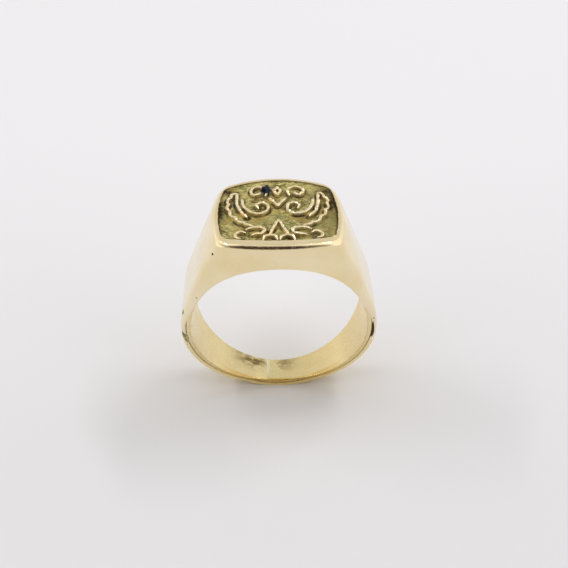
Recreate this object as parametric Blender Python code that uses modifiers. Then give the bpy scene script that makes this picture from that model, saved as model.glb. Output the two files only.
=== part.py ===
"""Hollow gold signet ring, assembled from sheet pieces.

An inner sleeve carries a hollow head-and-shoulders shell and a separate back shank. A bezel frame
and a sunk plate close the head, and thirteen pierced strips of scroll ornament stand on the plate.

Frame: X across the finger, Y along the finger, Z up to the signet face. The origin is the middle of
the foot flat that the ring stands on. Sizes below are in millimetres, with heights measured from the
middle of the finger hole, and every mesh is written in metres and lifted by FOOT_TO_HOLE.
"""

import math

import bmesh
import bpy
from mathutils import Vector

MM = 0.001

# Band
HOLE_RADIUS = 9.4
LINER_WALL = 0.45
OUTER_RADIUS = 10.42
BAND_TURNS = 96
GAP = 0.03  # solder film between two pieces
SHELL_RADIUS = HOLE_RADIUS + LINER_WALL + GAP
FOOT_HALF_LENGTH = 2.0
FOOT_TO_HOLE = math.sqrt(OUTER_RADIUS**2 - FOOT_HALF_LENGTH**2)
EDGE_ROUND = 0.11

# Width of the band and head, which grows from the back of the shank to the face
BACK_HALF_WIDTH = 1.73
HEAD_HALF_WIDTH = 6.33
WIDTH_POWER = 0.863

# Head
FACE_TOP = 12.6
HEAD_HALF_LENGTH = 6.68
SIDE_BOW = 18.3  # plan radius of the head's two ends
WALL_BOW = 16.3  # plan radius of its front and back walls
HEAD_CORNER = 1.6
BAND_CORNER = 0.3
FACE_DOME = 41.0  # radius of the face across the finger
END_TOP = FACE_TOP - FACE_DOME + math.sqrt(FACE_DOME**2 - HEAD_HALF_LENGTH**2)
DOME_TURNS = 256
BEZEL_WIDTH = 0.55
FACE_SETBACK = 0.27  # how far the middle of the sunk face lies behind the middle of the head
BEZEL_HEIGHT = 0.62
BEZEL_ROUND = 0.3
RECESS_CORNER = 0.75
RECESS_DEPTH = 0.4
PLATE_THICKNESS = 0.5
SHELL_WALL = 0.65
LEDGE_WIDTH = 0.5

# Joints of the band
JOINT_HEIGHT = -2.0
SEAM_THICKNESS = 0.12
INSERT_LEFT = -1.36
INSERT_RIGHT_BACK = -0.6
INSERT_RIGHT_FRONT = 1.07

# Scroll ornament
STRIP_HALF_WIDTH = 0.14
STRIP_HEIGHT = 0.34
STRIP_CLEARANCE = 0.02
LOBE_SWELL = 0.22
LEAF_LOBES = 6
BAR_LOW = FACE_TOP - 3.0
BAR_HIGH = FACE_TOP + 1.0

ROSE_GOLD = (0.83, 0.62, 0.40)
YELLOW_GOLD = (0.80, 0.62, 0.28)
GREEN_GOLD = (0.42, 0.38, 0.13)
PALE_GOLD = (0.76, 0.72, 0.46)
SOLDER_GOLD = (0.62, 0.55, 0.30)


def new_collection(name):
    collection = bpy.data.collections.new(name)
    bpy.context.scene.collection.children.link(collection)
    return collection


def clear_scene():
    for obj in list(bpy.data.objects):
        bpy.data.objects.remove(obj)


def gold(name, colour, roughness):
    """A solid gold alloy."""
    material = bpy.data.materials.new(name)
    material.use_nodes = True
    shader = material.node_tree.nodes["Principled BSDF"]
    shader.inputs["Base Color"].default_value = (*colour, 1.0)
    shader.inputs["Metallic"].default_value = 1.0
    shader.inputs["Roughness"].default_value = roughness
    return material


def add_object(name, mesh, collection, material=None):
    obj = bpy.data.objects.new(name, mesh)
    collection.objects.link(obj)
    if material:
        mesh.materials.append(material)
    return obj


def mesh_from(name, bm):
    """Lifts a bmesh from the hole's middle to the foot, turns it to metres and makes it a mesh."""
    bmesh.ops.recalc_face_normals(bm, faces=bm.faces)
    bmesh.ops.translate(bm, verts=bm.verts, vec=Vector((0.0, 0.0, FOOT_TO_HOLE)))
    bmesh.ops.scale(bm, verts=bm.verts, vec=Vector((MM, MM, MM)))
    mesh = bpy.data.meshes.new(name)
    bm.to_mesh(mesh)
    bm.free()
    return mesh


def cutter(name, bm):
    obj = add_object(name, mesh_from(name, bm), CUTTERS)
    obj.hide_render = True
    obj.display_type = "WIRE"
    return obj


def cut(obj, operation, tool):
    modifier = obj.modifiers.new(f"{operation.lower()}_{tool.name}", "BOOLEAN")
    modifier.operation = operation
    modifier.solver = "EXACT"
    modifier.object = tool


def round_edges(obj, width, angle=50.0):
    modifier = obj.modifiers.new("round_edges", "BEVEL")
    modifier.width = width * MM
    modifier.segments = 2
    modifier.limit_method = "ANGLE"
    modifier.angle_limit = math.radians(angle)


def shade(obj):
    obj.data.shade_smooth()
    obj.data.set_sharp_from_angle(angle=math.radians(35.0))


# Outlines and lofts


def rise(height):
    """0 at the band's joints, 1 at the face."""
    return min(max((height - JOINT_HEIGHT) / (FACE_TOP - JOINT_HEIGHT), 0.0), 1.0)


def half_width(height):
    share = (height + HOLE_RADIUS) / (FACE_TOP + HOLE_RADIUS)
    return BACK_HALF_WIDTH + (HEAD_HALF_WIDTH - BACK_HALF_WIDTH) * max(share, 0.0) ** WIDTH_POWER


def half_length(height):
    """Side profile: the band's circle, then its tangent up to the head's end."""
    reach = math.hypot(HEAD_HALF_LENGTH, END_TOP)
    turn = math.atan2(END_TOP, HEAD_HALF_LENGTH) - math.acos(OUTER_RADIUS / reach)
    tangent_x = OUTER_RADIUS * math.cos(turn)
    tangent_z = OUTER_RADIUS * math.sin(turn)
    if height <= tangent_z:
        return math.sqrt(OUTER_RADIUS**2 - height**2)
    slope = (HEAD_HALF_LENGTH - tangent_x) / (END_TOP - tangent_z)
    return tangent_x + slope * (height - tangent_z)


def cushion(length, width, side_bow, wall_bow, corner, steps=5):
    """A rectangle with four bowed sides and filleted corners, anticlockwise from +X."""
    end = Vector((length - side_bow, 0.0))
    wall = Vector((0.0, width - wall_bow))
    end_arm = side_bow - corner
    wall_arm = wall_bow - corner
    apart = wall - end
    along = (end_arm**2 - wall_arm**2 + apart.length_squared) / (2.0 * apart.length)
    aside = math.sqrt(end_arm**2 - along**2)
    unit = apart.normalized()
    normal = Vector((-unit.y, unit.x))
    fillet = end + unit * along + normal * aside
    low = math.atan2((fillet - end).y, (fillet - end).x)
    high = math.atan2((fillet - wall).y, (fillet - wall).x)
    quarter = [end + side_bow * Vector((math.cos(low * i / steps), math.sin(low * i / steps)))
               for i in range(steps)]
    for i in range(steps):
        turn = low + (high - low) * i / steps
        quarter.append(fillet + corner * Vector((math.cos(turn), math.sin(turn))))
    for i in range(steps):
        turn = high + (math.pi / 2.0 - high) * i / steps
        quarter.append(wall + wall_bow * Vector((math.cos(turn), math.sin(turn))))
    top = Vector((0.0, width))
    second = [Vector((-p.x, p.y)) for p in reversed(quarter)]
    upper = quarter + [top] + second[:-1]
    return upper + [-p for p in upper]


def loft(sections):
    """A closed body through outlines of equal count, each a list of points at its own height."""
    bm = bmesh.new()
    rings = [[bm.verts.new((p.x, p.y, height)) for p in outline] for height, outline in sections]
    count = len(rings[0])
    for lower, upper in zip(rings, rings[1:]):
        for i in range(count):
            j = (i + 1) % count
            bm.faces.new((lower[i], lower[j], upper[j], upper[i]))
    bm.faces.new(reversed(rings[0]))
    bm.faces.new(rings[-1])
    return bm


def wall_radius(height):
    """Plan radius of the front and back walls, nearly flat at the joints."""
    return WALL_BOW / max(rise(height) ** 2, 0.004)


def body_section(height, inset=0.0):
    share = rise(height)
    side = SIDE_BOW / max(share**2, 0.004)
    corner = BAND_CORNER + (HEAD_CORNER - BAND_CORNER) * share
    return cushion(half_length(height) - inset, half_width(height) - inset,
                   side - inset, wall_radius(height) - inset, max(corner - inset, 0.2))


def body_loft(low, high, rows, inset=0.0):
    step = (high - low) / (rows - 1)
    heights = [low + step * i for i in range(rows)]
    return loft([(height, body_section(height, inset)) for height in heights])


def walls_loft():
    """Everything between the ring's front and back walls, wider than the ring in X."""
    heights = [-11.5 + 1.0 * i for i in range(26)]
    reach = 11.5
    return loft([(h, cushion(reach, half_width(h), 400.0, wall_radius(h), 0.2)) for h in heights])


def face_outline(inset):
    """The outline of the sunk face, moved in from the head's outer edge and set back a little,
    so that the rim is widest at the front."""
    corner = RECESS_CORNER - (inset - BEZEL_WIDTH)
    outline = cushion(HEAD_HALF_LENGTH - inset, HEAD_HALF_WIDTH - FACE_SETBACK - inset,
                      SIDE_BOW - inset, WALL_BOW - inset, corner)
    return [point + Vector((0.0, FACE_SETBACK)) for point in outline]


def drum(name, below_face):
    """A large drum along Y whose top is the domed face, lowered by this much."""
    return cylinder_along_y(name, FACE_DOME - below_face, 20.0, DOME_TURNS, FACE_TOP - FACE_DOME)


def cylinder_along_y(name, radius, half, turns, height=0.0):
    bm = bmesh.new()
    bmesh.ops.create_cone(bm, cap_ends=True, segments=turns, radius1=radius, radius2=radius,
                          depth=2.0 * half)
    for vert in bm.verts:
        x, y, z = vert.co
        vert.co = (x, -z, y + height)
    return cutter(name, bm)


def box(name, low, high):
    bm = bmesh.new()
    bmesh.ops.create_cube(bm, size=1.0)
    for vert in bm.verts:
        vert.co = [low[k] if vert.co[k] < 0 else high[k] for k in range(3)]
    return cutter(name, bm)


def tube_along_y(inner, outer, half):
    """A plain sleeve along Y, made by turning a rectangle."""
    bm = bmesh.new()
    corners = [(outer, half), (outer, -half), (inner, -half), (inner, half)]
    verts = [bm.verts.new((x, y, 0.0)) for x, y in corners]
    bm.faces.new(verts)
    bmesh.ops.spin(bm, geom=list(bm.verts) + list(bm.edges), cent=(0, 0, 0), axis=(0, 1, 0),
                   angle=2.0 * math.pi, steps=BAND_TURNS, use_merge=True)
    bmesh.ops.delete(bm, geom=[f for f in bm.faces if all(abs(v.co.z) < 1e-6 for v in f.verts)],
                     context="FACES")
    bmesh.ops.remove_doubles(bm, verts=bm.verts, dist=1e-5)
    return bm


# The pieces


def make_head_shell():
    """Hollow head and shoulders: open at the top for the plate and below for the sleeve."""
    shell = add_object("head_shell", mesh_from("head_shell", body_loft(
        JOINT_HEIGHT + SEAM_THICKNESS / 2.0 + GAP, FACE_TOP + 0.5, 18)), RING, ROSE)
    cut(shell, "INTERSECT", drum("seat_drum", BEZEL_HEIGHT + GAP))
    pocket = cutter("plate_pocket", loft([(h, face_outline(BEZEL_WIDTH - GAP))
                                          for h in (FACE_TOP - 4.0, FACE_TOP + 1.0)]))
    cut(pocket, "DIFFERENCE", drum("ledge_drum", RECESS_DEPTH + PLATE_THICKNESS + GAP))
    cut(shell, "DIFFERENCE", pocket)
    cavity = cutter("cavity", body_loft(4.6, FACE_TOP - 0.2, 10, SHELL_WALL))
    lid = cutter("cavity_mouth", loft([(h, face_outline(BEZEL_WIDTH + LEDGE_WIDTH))
                                       for h in (3.0, FACE_TOP + 0.5)]))
    cut(cavity, "INTERSECT", drum("cavity_drum", RECESS_DEPTH + PLATE_THICKNESS + 0.5))
    cut(shell, "DIFFERENCE", cavity)
    cut(shell, "DIFFERENCE", lid)
    cut(shell, "DIFFERENCE", cylinder_along_y("shell_bore", SHELL_RADIUS, 15.0, BAND_TURNS))
    shade(shell)
    return shell


def make_bezel():
    """The polished frame around the sunk plate."""
    frame = add_object("bezel_rim", mesh_from("bezel_rim", body_loft(
        FACE_TOP - 2.0, FACE_TOP + 0.5, 4)), RING, ROSE)
    cut(frame, "INTERSECT", drum("face_drum", 0.0))
    round_edges(frame, BEZEL_ROUND)
    cut(frame, "DIFFERENCE", drum("bezel_drum", BEZEL_HEIGHT))
    cut(frame, "DIFFERENCE", cutter("recess", loft(
        [(h, face_outline(BEZEL_WIDTH)) for h in (FACE_TOP - 4.0, FACE_TOP + 2.0)])))
    shade(frame)
    return frame


def make_plate():
    """The sunk ground that the ornament stands on."""
    plate = add_object("signet_plate", mesh_from("signet_plate", loft(
        [(h, face_outline(BEZEL_WIDTH + GAP)) for h in (FACE_TOP - 3.0, FACE_TOP + 1.0)])), RING, GREEN)
    cut(plate, "INTERSECT", drum("ground_drum", RECESS_DEPTH))
    cut(plate, "DIFFERENCE", drum("plate_drum", RECESS_DEPTH + PLATE_THICKNESS))
    shade(plate)
    return plate


def make_liner(walls, notch):
    """The full sleeve that touches the finger, open at the back for the sizing insert."""
    half = HEAD_HALF_WIDTH + 1.0
    liner = add_object("inner_liner", mesh_from("inner_liner", tube_along_y(
        HOLE_RADIUS, HOLE_RADIUS + LINER_WALL, half)), RING, YELLOW)
    cut(liner, "INTERSECT", walls)
    cut(liner, "DIFFERENCE", notch)
    round_edges(liner, EDGE_ROUND)
    shade(liner)
    return liner


def insert_block(name, grow):
    """A block through the back of the sleeve with one slanted end, from the sizing cut."""
    depth = BACK_HALF_WIDTH + 0.4
    slope = (INSERT_RIGHT_FRONT - INSERT_RIGHT_BACK) / (2.0 * BACK_HALF_WIDTH)
    middle = (INSERT_RIGHT_FRONT + INSERT_RIGHT_BACK) / 2.0
    outline = [Vector((INSERT_LEFT - grow, -depth)),
               Vector((middle + slope * depth + grow, -depth)),
               Vector((middle - slope * depth + grow, depth)),
               Vector((INSERT_LEFT - grow, depth))]
    return cutter(name, loft([(h, outline) for h in (-12.0, -8.0)]))


def make_insert(walls):
    """The short pale piece let into the sleeve when the ring was made larger."""
    piece = add_object("sizing_insert", mesh_from("sizing_insert", tube_along_y(
        HOLE_RADIUS, HOLE_RADIUS + LINER_WALL, HEAD_HALF_WIDTH + 1.0)), RING, PALE)
    cut(piece, "INTERSECT", insert_block("insert_block", 0.0))
    cut(piece, "INTERSECT", walls)
    shade(piece)
    return piece


def make_back_shank(walls):
    """The lower half of the band, filed flat at the foot."""
    shank = add_object("back_shank", mesh_from("back_shank", tube_along_y(
        SHELL_RADIUS, OUTER_RADIUS, HEAD_HALF_WIDTH + 1.0)), RING, YELLOW)
    cut(shank, "INTERSECT", walls)
    top = JOINT_HEIGHT - SEAM_THICKNESS / 2.0 - GAP
    cut(shank, "DIFFERENCE", box("above_joint", (-12.0, -9.0, top), (12.0, 9.0, 14.0)))
    round_edges(shank, EDGE_ROUND)
    cut(shank, "DIFFERENCE", box("foot_file", (-5.0, -5.0, -14.0), (5.0, 5.0, -FOOT_TO_HOLE)))
    shade(shank)
    return shank


def make_seam(walls, side):
    """A leaf of solder between the shell and the back shank."""
    name = "solder_seam_right" if side > 0 else "solder_seam_left"
    seam = add_object(name, mesh_from(name, tube_along_y(
        SHELL_RADIUS, OUTER_RADIUS, HEAD_HALF_WIDTH + 1.0)), RING, SOLDER)
    half = SEAM_THICKNESS / 2.0
    ends = sorted((side * 5.0, side * 12.0))
    cut(seam, "INTERSECT", walls)
    cut(seam, "INTERSECT", box(f"{name}_box", (ends[0], -9.0, JOINT_HEIGHT - half),
                               (ends[1], 9.0, JOINT_HEIGHT + half)))
    shade(seam)
    return seam


# Ornament: each strip follows a path in the plan of the face, with X right and Y to the far edge


def smooth(points, steps=5):
    """A Catmull-Rom curve through a few points."""
    nodes = [Vector(p) for p in points]
    nodes = [2.0 * nodes[0] - nodes[1]] + nodes + [2.0 * nodes[-1] - nodes[-2]]
    path = []
    for a, b, c, d in zip(nodes, nodes[1:], nodes[2:], nodes[3:]):
        for k in range(steps):
            t = k / steps
            path.append(0.5 * (2.0 * b + (c - a) * t + (2.0 * a - 5.0 * b + 4.0 * c - d) * t**2
                               + (3.0 * b - a - 3.0 * c + d) * t**3))
    return path + [nodes[-2]]


def half_ring(centre_x, centre_y, radius, steps=12):
    turns = [math.pi * (1.0 - i / steps) for i in range(steps + 1)]
    return [Vector((centre_x + radius * math.cos(t), centre_y + radius * math.sin(t))) for t in turns]


def side_steps(path, closed):
    """For each point, the mitred step to its left."""
    last = len(path) - 1
    steps = []
    for i, point in enumerate(path):
        before = path[i - 1] if i > 0 or closed else 2.0 * point - path[i + 1]
        after = path[(i + 1) % (last + 1)] if i < last or closed else 2.0 * point - path[i - 1]
        one = (point - before).normalized()
        two = (after - point).normalized()
        normal = Vector((-(one + two).y, (one + two).x)).normalized()
        steps.append(normal / max(normal.dot(Vector((-one.y, one.x))), 0.6))
    return steps


def strip(path, lobes=0, closed=False):
    """A flat bar of even width along a path, taller than the ornament; lobes swell its right side."""
    bm = bmesh.new()
    last = len(path) - 1
    rings = []
    for i, (point, step) in enumerate(zip(path, side_steps(path, closed))):
        swell = LOBE_SWELL * abs(math.sin(math.pi * lobes * i / last))
        left = point + step * STRIP_HALF_WIDTH
        right = point - step * (STRIP_HALF_WIDTH + swell)
        corners = [(left, BAR_LOW), (right, BAR_LOW), (right, BAR_HIGH), (left, BAR_HIGH)]
        rings.append([bm.verts.new((p.x, p.y, height)) for p, height in corners])
    if closed:
        rings.append(rings[0])
    else:
        bm.faces.new(rings[0])
        bm.faces.new(rings[-1])
    for first, second in zip(rings, rings[1:]):
        for k in range(4):
            bm.faces.new((first[k], first[(k + 1) % 4], second[(k + 1) % 4], second[k]))
    return bm


def mirrored(path, side):
    return [Vector((side * p.x, p.y)) for p in path]


def lobed_margin():
    return smooth([(4.15, 4.05), (4.9, 2.9), (5.0, 1.4), (4.55, -0.2), (3.65, -1.5), (2.5, -2.15)], 6)


def plain_margin():
    return smooth([(4.2, 3.95), (4.2, 2.7), (4.15, 1.6), (3.75, 0.3), (3.1, -0.6)])


def scroll():
    return smooth([(3.7, 2.9), (3.55, 1.5), (2.95, 0.3), (1.9, -0.25), (1.1, 0.25), (1.05, 1.2),
                   (1.6, 1.75), (2.2, 1.4), (2.0, 0.85)], 4)


def volute():
    return smooth([(1.25, 3.2), (1.05, 4.1), (1.65, 4.75), (2.5, 4.6), (2.75, 3.85), (2.3, 3.3),
                   (1.8, 3.55), (1.95, 3.95)], 4)


def tendril():
    return smooth([(3.3, -2.75), (2.5, -2.65), (1.7, -2.75), (1.35, -3.25), (1.75, -3.75),
                   (2.75, -3.8)], 4)


def curl():
    return smooth([(3.2, -3.35), (3.83, -3.2), (4.3, -3.6), (4.22, -4.17), (3.72, -4.22)], 4)


def chevron():
    side = [Vector((0.95, 2.85)), Vector((0.55, 2.0))]
    return mirrored(side, -1.0) + [Vector((0.0, 1.1))] + side[::-1]


def peak():
    side = [Vector((1.0, -4.1)), Vector((0.55, -2.9)), Vector((0.2, -1.9))]
    return mirrored(side, -1.0) + [Vector((0.0, -1.5))] + side[::-1]


def lozenge():
    return [Vector(p) for p in ((-0.4, 3.9), (0.0, 3.15), (0.4, 3.9), (0.0, 4.65))]


def make_ornament_piece(name, bars, drums):
    """Joins the bars and trims them between the plate and the ornament's height."""
    piece = add_object(name, mesh_from(name, bars[0]), RING, ROSE)
    for i, bar in enumerate(bars[1:]):
        cut(piece, "UNION", cutter(f"{name}_bar_{i}", bar))
    cut(piece, "INTERSECT", drums[0])
    cut(piece, "DIFFERENCE", drums[1])
    shade(piece)


def make_ornament():
    foot = RECESS_DEPTH - STRIP_CLEARANCE
    drums = (drum("ornament_top", foot - STRIP_HEIGHT), drum("ornament_foot", foot))
    for side, word in ((-1.0, "left"), (1.0, "right")):
        for name, path in (("scroll", scroll()), ("volute", volute()), ("tendril", tendril()),
                           ("curl", curl())):
            make_ornament_piece(f"{name}_{word}", [strip(mirrored(path, side))], drums)
        margin = mirrored(lobed_margin(), side)
        outer = margin if side < 0.0 else margin[::-1]
        leaf = [strip(outer, lobes=LEAF_LOBES), strip(mirrored(plain_margin(), side))]
        make_ornament_piece(f"leaf_{word}", leaf, drums)
    arches = [strip(half_ring(x, -4.75, 0.7)) for x in (-0.85, 0.85)]
    make_ornament_piece("centre_peak", [strip(peak())] + arches, drums)
    make_ornament_piece("centre_chevron", [strip(chevron())], drums)
    make_ornament_piece("centre_lozenge", [strip(lozenge(), closed=True)], drums)


clear_scene()
RING = new_collection("signet_ring")
CUTTERS = new_collection("cutters")
ROSE = gold("rose_tinted_gold", ROSE_GOLD, 0.16)
YELLOW = gold("yellow_gold", YELLOW_GOLD, 0.2)
GREEN = gold("aged_green_gold", GREEN_GOLD, 0.45)
PALE = gold("pale_green_gold", PALE_GOLD, 0.25)
SOLDER = gold("gold_solder", SOLDER_GOLD, 0.4)

between_walls = cutter("between_walls", walls_loft())
make_head_shell()
make_bezel()
make_plate()
make_liner(between_walls, insert_block("insert_notch", GAP))
make_insert(between_walls)
make_back_shank(between_walls)
make_seam(between_walls, -1.0)
make_seam(between_walls, 1.0)
make_ornament()
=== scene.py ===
# %% [markdown]
# # A hollow gold signet ring
# The ring is sheet work: a thin sleeve carries a hollow head with shoulders, a separate back shank,
# a polished rim and a sunk plate with raised scrolls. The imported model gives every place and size,
# and this lesson makes the fine surfaces around it. First the model is loaded and its box kept.

# %% Load the frame
import math

import bmesh
import bpy
import numpy as np
from mathutils import Matrix, Vector


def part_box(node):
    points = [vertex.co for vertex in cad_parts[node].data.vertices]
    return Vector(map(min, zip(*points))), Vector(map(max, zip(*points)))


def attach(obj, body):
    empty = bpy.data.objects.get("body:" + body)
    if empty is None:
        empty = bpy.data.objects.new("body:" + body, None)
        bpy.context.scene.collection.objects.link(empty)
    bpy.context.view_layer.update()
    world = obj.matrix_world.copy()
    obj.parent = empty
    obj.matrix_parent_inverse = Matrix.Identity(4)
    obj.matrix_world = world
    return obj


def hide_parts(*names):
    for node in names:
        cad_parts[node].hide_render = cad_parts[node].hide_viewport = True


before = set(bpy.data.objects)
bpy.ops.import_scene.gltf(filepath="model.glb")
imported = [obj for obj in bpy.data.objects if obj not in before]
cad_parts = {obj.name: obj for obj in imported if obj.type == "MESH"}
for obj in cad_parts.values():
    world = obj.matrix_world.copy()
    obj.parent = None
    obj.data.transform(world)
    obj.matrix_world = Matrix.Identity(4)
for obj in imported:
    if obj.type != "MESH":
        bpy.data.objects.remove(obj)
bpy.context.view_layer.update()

print("nodes:", ", ".join(sorted(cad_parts)))

# %% [markdown]
# ## Driving sizes
# A jeweller measures a ring from the middle of its finger hole, in millimetres, so the shapes below
# do the same. The numbers that the model can give are read from its nodes. The rest are the few
# radii and wall thicknesses that the model was drawn with.

# %% Read the sizes from the frame
MM = 0.001
liner_low, liner_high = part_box("inner_liner")
shell_low, shell_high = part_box("head_shell")
_, rim_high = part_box("bezel_rim")

HOLE_HEIGHT = (liner_low.z + liner_high.z) / 2.0 / MM
LINER_OUTER = (liner_high.x - liner_low.x) / 2.0 / MM
LINER_WALL = 0.45
HOLE_RADIUS = LINER_OUTER - LINER_WALL
FILM = 0.03  # solder film between pieces
SHELL_RADIUS = LINER_OUTER + FILM
OUTER_RADIUS = (shell_high.x - shell_low.x) / 2.0 / MM
FACE_TOP = rim_high.z / MM - HOLE_HEIGHT
HEAD_HALF_WIDTH = rim_high.y / MM
HEAD_HALF_LENGTH = 6.68
BACK_HALF_WIDTH = 1.73
WIDTH_POWER = 0.863
FACE_DOME = 41.0
SIDE_BOW = 18.3
WALL_BOW = 16.3
HEAD_CORNER = 1.6
BAND_CORNER = 0.3
RIM_WIDTH = 0.55
FACE_SETBACK = 0.27  # the sunk face lies this far back, so the rim is widest in front
RIM_HEIGHT = 0.62
RECESS_CORNER = 0.75
RECESS_DEPTH = 0.4
JOINT_HEIGHT = -2.0
SEAM_HALF = 0.06
print(f"hole centre {HOLE_HEIGHT:.3f} mm up, bore {2 * HOLE_RADIUS:.2f} mm, face {FACE_TOP:.2f} mm above it")

# %% [markdown]
# ## Shape rules
# Every surface follows three rules: the side profile is the band's circle and its tangents up to the
# head, the width grows steadily from the back to the face, and the plan of the head is a rectangle
# with bowed sides. Written as functions of numpy arrays, they can be sampled as finely as polish
# needs, where a coarse cage with subdivision would bulge between its points.


# %% Profile, width and plan
def bow_drop(radius, across):
    """How far an arc of this radius has fallen at a distance from its top."""
    return radius - np.sqrt(np.maximum(radius**2 - np.square(across), 0.0))


END_TOP = FACE_TOP - float(bow_drop(FACE_DOME, HEAD_HALF_LENGTH))


def rise(height):
    """0 at the band's joints, 1 at the face."""
    return np.clip((height - JOINT_HEIGHT) / (FACE_TOP - JOINT_HEIGHT), 0.0, 1.0)


def half_width(height):
    share = np.maximum((height + HOLE_RADIUS) / (FACE_TOP + HOLE_RADIUS), 0.0)
    return BACK_HALF_WIDTH + (HEAD_HALF_WIDTH - BACK_HALF_WIDTH) * share**WIDTH_POWER


def half_length(height):
    reach = math.hypot(HEAD_HALF_LENGTH, END_TOP)
    turn = math.atan2(END_TOP, HEAD_HALF_LENGTH) - math.acos(OUTER_RADIUS / reach)
    tangent_x = OUTER_RADIUS * math.cos(turn)
    tangent_z = OUTER_RADIUS * math.sin(turn)
    slope = (HEAD_HALF_LENGTH - tangent_x) / (END_TOP - tangent_z)
    circle = np.sqrt(np.maximum(OUTER_RADIUS**2 - np.square(height), 0.0))
    return np.where(height <= tangent_z, circle, tangent_x + slope * (height - tangent_z))


def wall_radius(height):
    return WALL_BOW / np.maximum(rise(height) ** 2, 0.004)


def wall_y(x, height):
    """Half the ring's width at a point of its side view."""
    return half_width(height) - bow_drop(wall_radius(height), x)


def cushion(length, width, side_bow, wall_bow, corner, steps):
    """Plan outline with four bowed sides and round corners, anticlockwise from +X."""
    end = np.array([length - side_bow, 0.0])
    wall = np.array([0.0, width - wall_bow])
    apart = wall - end
    gap = np.hypot(*apart)
    end_arm = side_bow - corner
    along = (end_arm**2 - (wall_bow - corner) ** 2 + gap**2) / (2.0 * gap)
    unit = apart / gap
    fillet = end + unit * along + np.array([-unit[1], unit[0]]) * math.sqrt(end_arm**2 - along**2)
    low = math.atan2(*(fillet - end)[::-1])
    high = math.atan2(*(fillet - wall)[::-1])
    arcs = ((end, side_bow, 0.0, low, steps[0]), (fillet, corner, low, high, steps[1]),
            (wall, wall_bow, high, math.pi / 2.0, steps[2]))
    quarter = []
    for centre, radius, first, last, count in arcs:
        turns = np.linspace(first, last, count, endpoint=False)
        quarter.append(centre + radius * np.stack([np.cos(turns), np.sin(turns)], 1))
    quarter = np.concatenate(quarter)
    mirror = quarter[:0:-1] * [-1.0, 1.0]
    upper = np.concatenate([quarter, [[0.0, width]], mirror])
    return np.concatenate([upper, -upper[:1], upper[1:] * [-1.0, -1.0]])


def body_outline(height, inset, steps):
    share = float(rise(height))
    side = SIDE_BOW / max(share**2, 0.004)
    corner = BAND_CORNER + (HEAD_CORNER - BAND_CORNER) * share
    return cushion(float(half_length(height)) - inset, float(half_width(height)) - inset,
                   side - inset, float(wall_radius(height)) - inset, max(corner - inset, 0.2), steps)


def domed_row(height, inset, doming, steps):
    """An outline of the head whose points sink with the dome of the face as they near the ends."""
    plan = body_outline(height, inset, steps)
    heights = height - doming * bow_drop(FACE_DOME, plan[:, 0])
    x = plan[:, 0] * (half_length(heights) - inset) / (half_length(height) - inset)
    y = plan[:, 1] * (half_width(heights) - inset) / (half_width(height) - inset)
    return np.stack([x, y, heights], 1)


def recess_outline(clearance, steps):
    """The edge of the sunk face."""
    inset = RIM_WIDTH + clearance
    plan = cushion(HEAD_HALF_LENGTH - inset, HEAD_HALF_WIDTH - FACE_SETBACK - inset, SIDE_BOW - inset,
                   WALL_BOW - inset, RECESS_CORNER, steps)
    return plan + [0.0, FACE_SETBACK]


print(f"widest {2 * half_width(FACE_TOP):.2f} mm at the face, {2 * half_width(0.0):.2f} mm at the sides")

# %% [markdown]
# ## Mesh helpers
# A turned or lofted surface is a grid of points. Closing the grid on itself in both directions gives
# a watertight solid with even quads, which reflect cleanly. Small sums of sines stand for the slow
# waves that hand filing leaves, because they need no seed.


# %% Grids into meshes
def wander(points, length, seed):
    """Smooth values near -1 to 1 that change over about this many millimetres."""
    rng = np.random.default_rng(seed)
    total = 0.0
    for _ in range(7):
        way = rng.normal(size=3)
        way = way / np.linalg.norm(way) * (2.0 * math.pi / length) * rng.uniform(0.6, 1.5)
        total = total + np.sin(points @ way + rng.uniform(0.0, 2.0 * math.pi))
    return total / 3.0


def linked(name, data):
    """A new object with this data, in the scene."""
    obj = bpy.data.objects.new(name, data)
    bpy.context.scene.collection.objects.link(obj)
    return obj


def as_object(name, points, faces, material):
    """Points in millimetres from the hole's middle become a smooth mesh object in the frame."""
    placed = (np.asarray(points, float).reshape(-1, 3) + [0.0, 0.0, HOLE_HEIGHT]) * MM
    mesh = bpy.data.meshes.new(name)
    mesh.from_pydata(placed.tolist(), [], faces)
    bm = bmesh.new()
    bm.from_mesh(mesh)
    bmesh.ops.recalc_face_normals(bm, faces=bm.faces)
    bm.to_mesh(mesh)
    bm.free()
    mesh.materials.append(material)
    return linked(name, mesh)


def grid_faces(rows, columns, close_rows, close_columns):
    faces = []
    for i in range(rows if close_rows else rows - 1):
        j = (i + 1) % rows
        for k in range(columns if close_columns else columns - 1):
            m = (k + 1) % columns
            faces.append((i * columns + k, i * columns + m, j * columns + m, j * columns + k))
    return faces


def torus_object(name, grid, material):
    """A grid that closes on itself both ways."""
    return as_object(name, grid, grid_faces(*grid.shape[:2], True, True), material)


def bar_object(name, grid, material):
    """A grid of closed rows with both ends filled."""
    rows, columns = grid.shape[:2]
    faces = grid_faces(rows, columns, False, True)
    faces.append(tuple(range(columns))[::-1])
    faces.append(tuple((rows - 1) * columns + k for k in range(columns)))
    return as_object(name, grid, faces, material)


def smooth_shade(obj, degrees=35.0):
    obj.data.shade_smooth()
    obj.data.set_sharp_from_angle(angle=math.radians(degrees))


def bake_modifiers(obj):
    """Replaces an object's mesh with what its modifiers make."""
    graph = bpy.context.evaluated_depsgraph_get()
    mesh = bpy.data.meshes.new_from_object(obj.evaluated_get(graph))
    obj.modifiers.clear()
    obj.data = mesh


def subtract(obj, tool):
    modifier = obj.modifiers.new("cut", "BOOLEAN")
    modifier.operation = "DIFFERENCE"
    modifier.solver = "EXACT"
    modifier.material_mode = "TRANSFER"
    modifier.object = tool
    bake_modifiers(obj)
    bpy.data.objects.remove(tool)


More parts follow.
